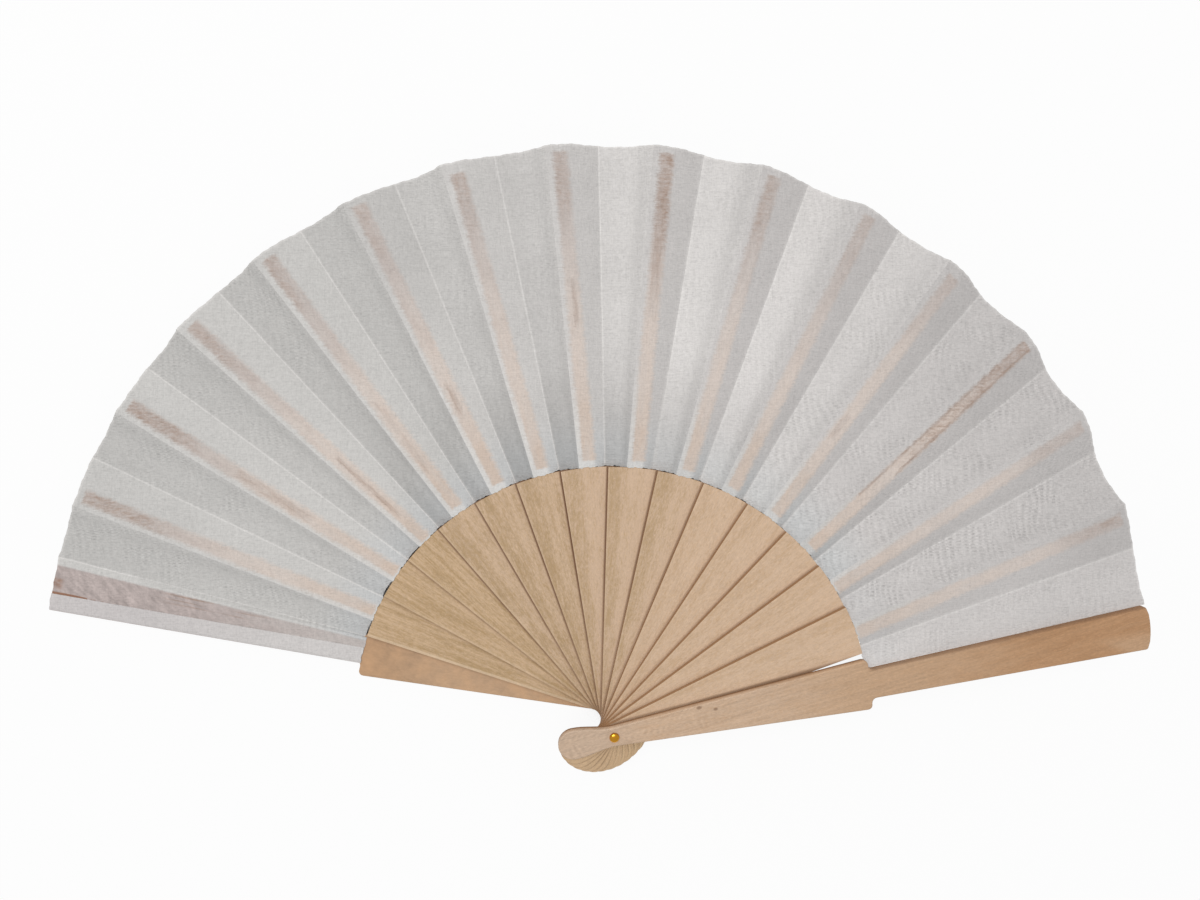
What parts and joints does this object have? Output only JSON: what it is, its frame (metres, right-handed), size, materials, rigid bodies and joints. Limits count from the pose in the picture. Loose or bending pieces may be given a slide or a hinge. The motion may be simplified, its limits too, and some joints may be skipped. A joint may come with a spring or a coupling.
{
  "type": "folding fan",
  "caption": "Open folding hand fan with wooden sticks turning on one brass rivet and a pleated pale silk leaf that folds as the sticks close.",
  "frame": {"origin": "the rivet's axis where it meets the plane of the rear guard's back", "axes": "+Z along the rivet, from the rear guard to the front guard and the rivet's domed head; +Y from the rivet towards the middle of the leaf; +X towards the front guard's side, so the open fan spreads along X"},
  "size_m": [0.4107, 0.2295, 0.0289],
  "materials": {
    "guard_wood": "satin",
    "rib_wood": "satin",
    "silk": "plain weave with a soft sheen",
    "brass": "polished"
  },
  "bodies": {
    "rear_guard": {"rear_guard": "guard_wood", "leaf_panel_00": "silk", "leaf_fold_00": "silk", "leaf_hem": "silk", "rivet_pin": "brass", "rivet_head": "brass", "rivet_washer": "brass"},
    "rib_01": {"rib_01": "rib_wood", "leaf_panel_01": "silk", "leaf_fold_01": "silk"},
    "rib_02": {"rib_02": "rib_wood", "leaf_panel_02": "silk", "leaf_fold_02": "silk"},
    "rib_03": {"rib_03": "rib_wood", "leaf_panel_03": "silk", "leaf_fold_03": "silk"},
    "rib_04": {"rib_04": "rib_wood", "leaf_panel_04": "silk", "leaf_fold_04": "silk"},
    "rib_05": {"rib_05": "rib_wood", "leaf_panel_05": "silk", "leaf_fold_05": "silk"},
    "rib_06": {"rib_06": "rib_wood", "leaf_panel_06": "silk", "leaf_fold_06": "silk"},
    "rib_07": {"rib_07": "rib_wood", "leaf_panel_07": "silk", "leaf_fold_07": "silk"},
    "rib_08": {"rib_08": "rib_wood", "leaf_panel_08": "silk", "leaf_fold_08": "silk"},
    "rib_09": {"rib_09": "rib_wood", "leaf_panel_09": "silk", "leaf_fold_09": "silk"},
    "rib_10": {"rib_10": "rib_wood", "leaf_panel_10": "silk", "leaf_fold_10": "silk"},
    "rib_11": {"rib_11": "rib_wood", "leaf_panel_11": "silk", "leaf_fold_11": "silk"},
    "rib_12": {"rib_12": "rib_wood", "leaf_panel_12": "silk", "leaf_fold_12": "silk"},
    "rib_13": {"rib_13": "rib_wood", "leaf_panel_13": "silk", "leaf_fold_13": "silk"},
    "rib_14": {"rib_14": "rib_wood", "leaf_panel_14": "silk", "leaf_fold_14": "silk"},
    "front_guard": {"front_guard": "guard_wood", "leaf_end_tab": "silk"}
  },
  "joints": [
    {"name": "fan_close", "type": "hinge", "parent": "rear_guard", "child": "rib_01", "pos_m": [0, 0, 0.00265], "axis": [0, 0, 1], "range_deg": [0, 9.9], "deforming": ["leaf_fold_00"]},
    {"name": "rib_02_turn", "type": "hinge", "parent": "rib_01", "child": "rib_02", "pos_m": [0, 0, 0.00425], "axis": [0, 0, 1], "range_deg": [0, 10.4], "deforming": ["leaf_fold_01"]},
    {"name": "rib_03_turn", "type": "hinge", "parent": "rib_02", "child": "rib_03", "pos_m": [0, 0, 0.00585], "axis": [0, 0, 1], "range_deg": [0, 10.1], "deforming": ["leaf_fold_02"]},
    {"name": "rib_04_turn", "type": "hinge", "parent": "rib_03", "child": "rib_04", "pos_m": [0, 0, 0.00745], "axis": [0, 0, 1], "range_deg": [0, 9.8], "deforming": ["leaf_fold_03"]},
    {"name": "rib_05_turn", "type": "hinge", "parent": "rib_04", "child": "rib_05", "pos_m": [0, 0, 0.00905], "axis": [0, 0, 1], "range_deg": [0, 10], "deforming": ["leaf_fold_04"]},
    {"name": "rib_06_turn", "type": "hinge", "parent": "rib_05", "child": "rib_06", "pos_m": [0, 0, 0.01065], "axis": [0, 0, 1], "range_deg": [0, 9.8], "deforming": ["leaf_fold_05"]},
    {"name": "rib_07_turn", "type": "hinge", "parent": "rib_06", "child": "rib_07", "pos_m": [0, 0, 0.01225], "axis": [0, 0, 1], "range_deg": [0, 9.9], "deforming": ["leaf_fold_06"]},
    {"name": "rib_08_turn", "type": "hinge", "parent": "rib_07", "child": "rib_08", "pos_m": [0, 0, 0.01385], "axis": [0, 0, 1], "range_deg": [0, 10.2], "deforming": ["leaf_fold_07"]},
    {"name": "rib_09_turn", "type": "hinge", "parent": "rib_08", "child": "rib_09", "pos_m": [0, 0, 0.01545], "axis": [0, 0, 1], "range_deg": [0, 10.6], "deforming": ["leaf_fold_08"]},
    {"name": "rib_10_turn", "type": "hinge", "parent": "rib_09", "child": "rib_10", "pos_m": [0, 0, 0.01705], "axis": [0, 0, 1], "range_deg": [0, 10.2], "deforming": ["leaf_fold_09"]},
    {"name": "rib_11_turn", "type": "hinge", "parent": "rib_10", "child": "rib_11", "pos_m": [0, 0, 0.01865], "axis": [0, 0, 1], "range_deg": [0, 10.5], "deforming": ["leaf_fold_10"]},
    {"name": "rib_12_turn", "type": "hinge", "parent": "rib_11", "child": "rib_12", "pos_m": [0, 0, 0.02025], "axis": [0, 0, 1], "range_deg": [0, 10.4], "deforming": ["leaf_fold_11"]},
    {"name": "rib_13_turn", "type": "hinge", "parent": "rib_12", "child": "rib_13", "pos_m": [0, 0, 0.02185], "axis": [0, 0, 1], "range_deg": [0, 10.4], "deforming": ["leaf_fold_12"]},
    {"name": "rib_14_turn", "type": "hinge", "parent": "rib_13", "child": "rib_14", "pos_m": [0, 0, 0.02345], "axis": [0, 0, 1], "range_deg": [0, 10.9], "deforming": ["leaf_fold_13"]},
    {"name": "front_guard_turn", "type": "hinge", "parent": "rib_14", "child": "front_guard", "pos_m": [0, 0, 0.02505], "axis": [0, 0, 1], "range_deg": [0, 12.5], "deforming": ["leaf_fold_14"]}
  ],
  "couplings": [
    {"joint": "rib_02_turn", "follows": "fan_close", "ratio": 1.0505},
    {"joint": "rib_03_turn", "follows": "fan_close", "ratio": 1.0202},
    {"joint": "rib_04_turn", "follows": "fan_close", "ratio": 0.9899},
    {"joint": "rib_05_turn", "follows": "fan_close", "ratio": 1.0101},
    {"joint": "rib_06_turn", "follows": "fan_close", "ratio": 0.9899},
    {"joint": "rib_07_turn", "follows": "fan_close", "ratio": 1},
    {"joint": "rib_08_turn", "follows": "fan_close", "ratio": 1.0303},
    {"joint": "rib_09_turn", "follows": "fan_close", "ratio": 1.0707},
    {"joint": "rib_10_turn", "follows": "fan_close", "ratio": 1.0303},
    {"joint": "rib_11_turn", "follows": "fan_close", "ratio": 1.0606},
    {"joint": "rib_12_turn", "follows": "fan_close", "ratio": 1.0505},
    {"joint": "rib_13_turn", "follows": "fan_close", "ratio": 1.0505},
    {"joint": "rib_14_turn", "follows": "fan_close", "ratio": 1.101},
    {"joint": "front_guard_turn", "follows": "fan_close", "ratio": 1.2626}
  ]
}
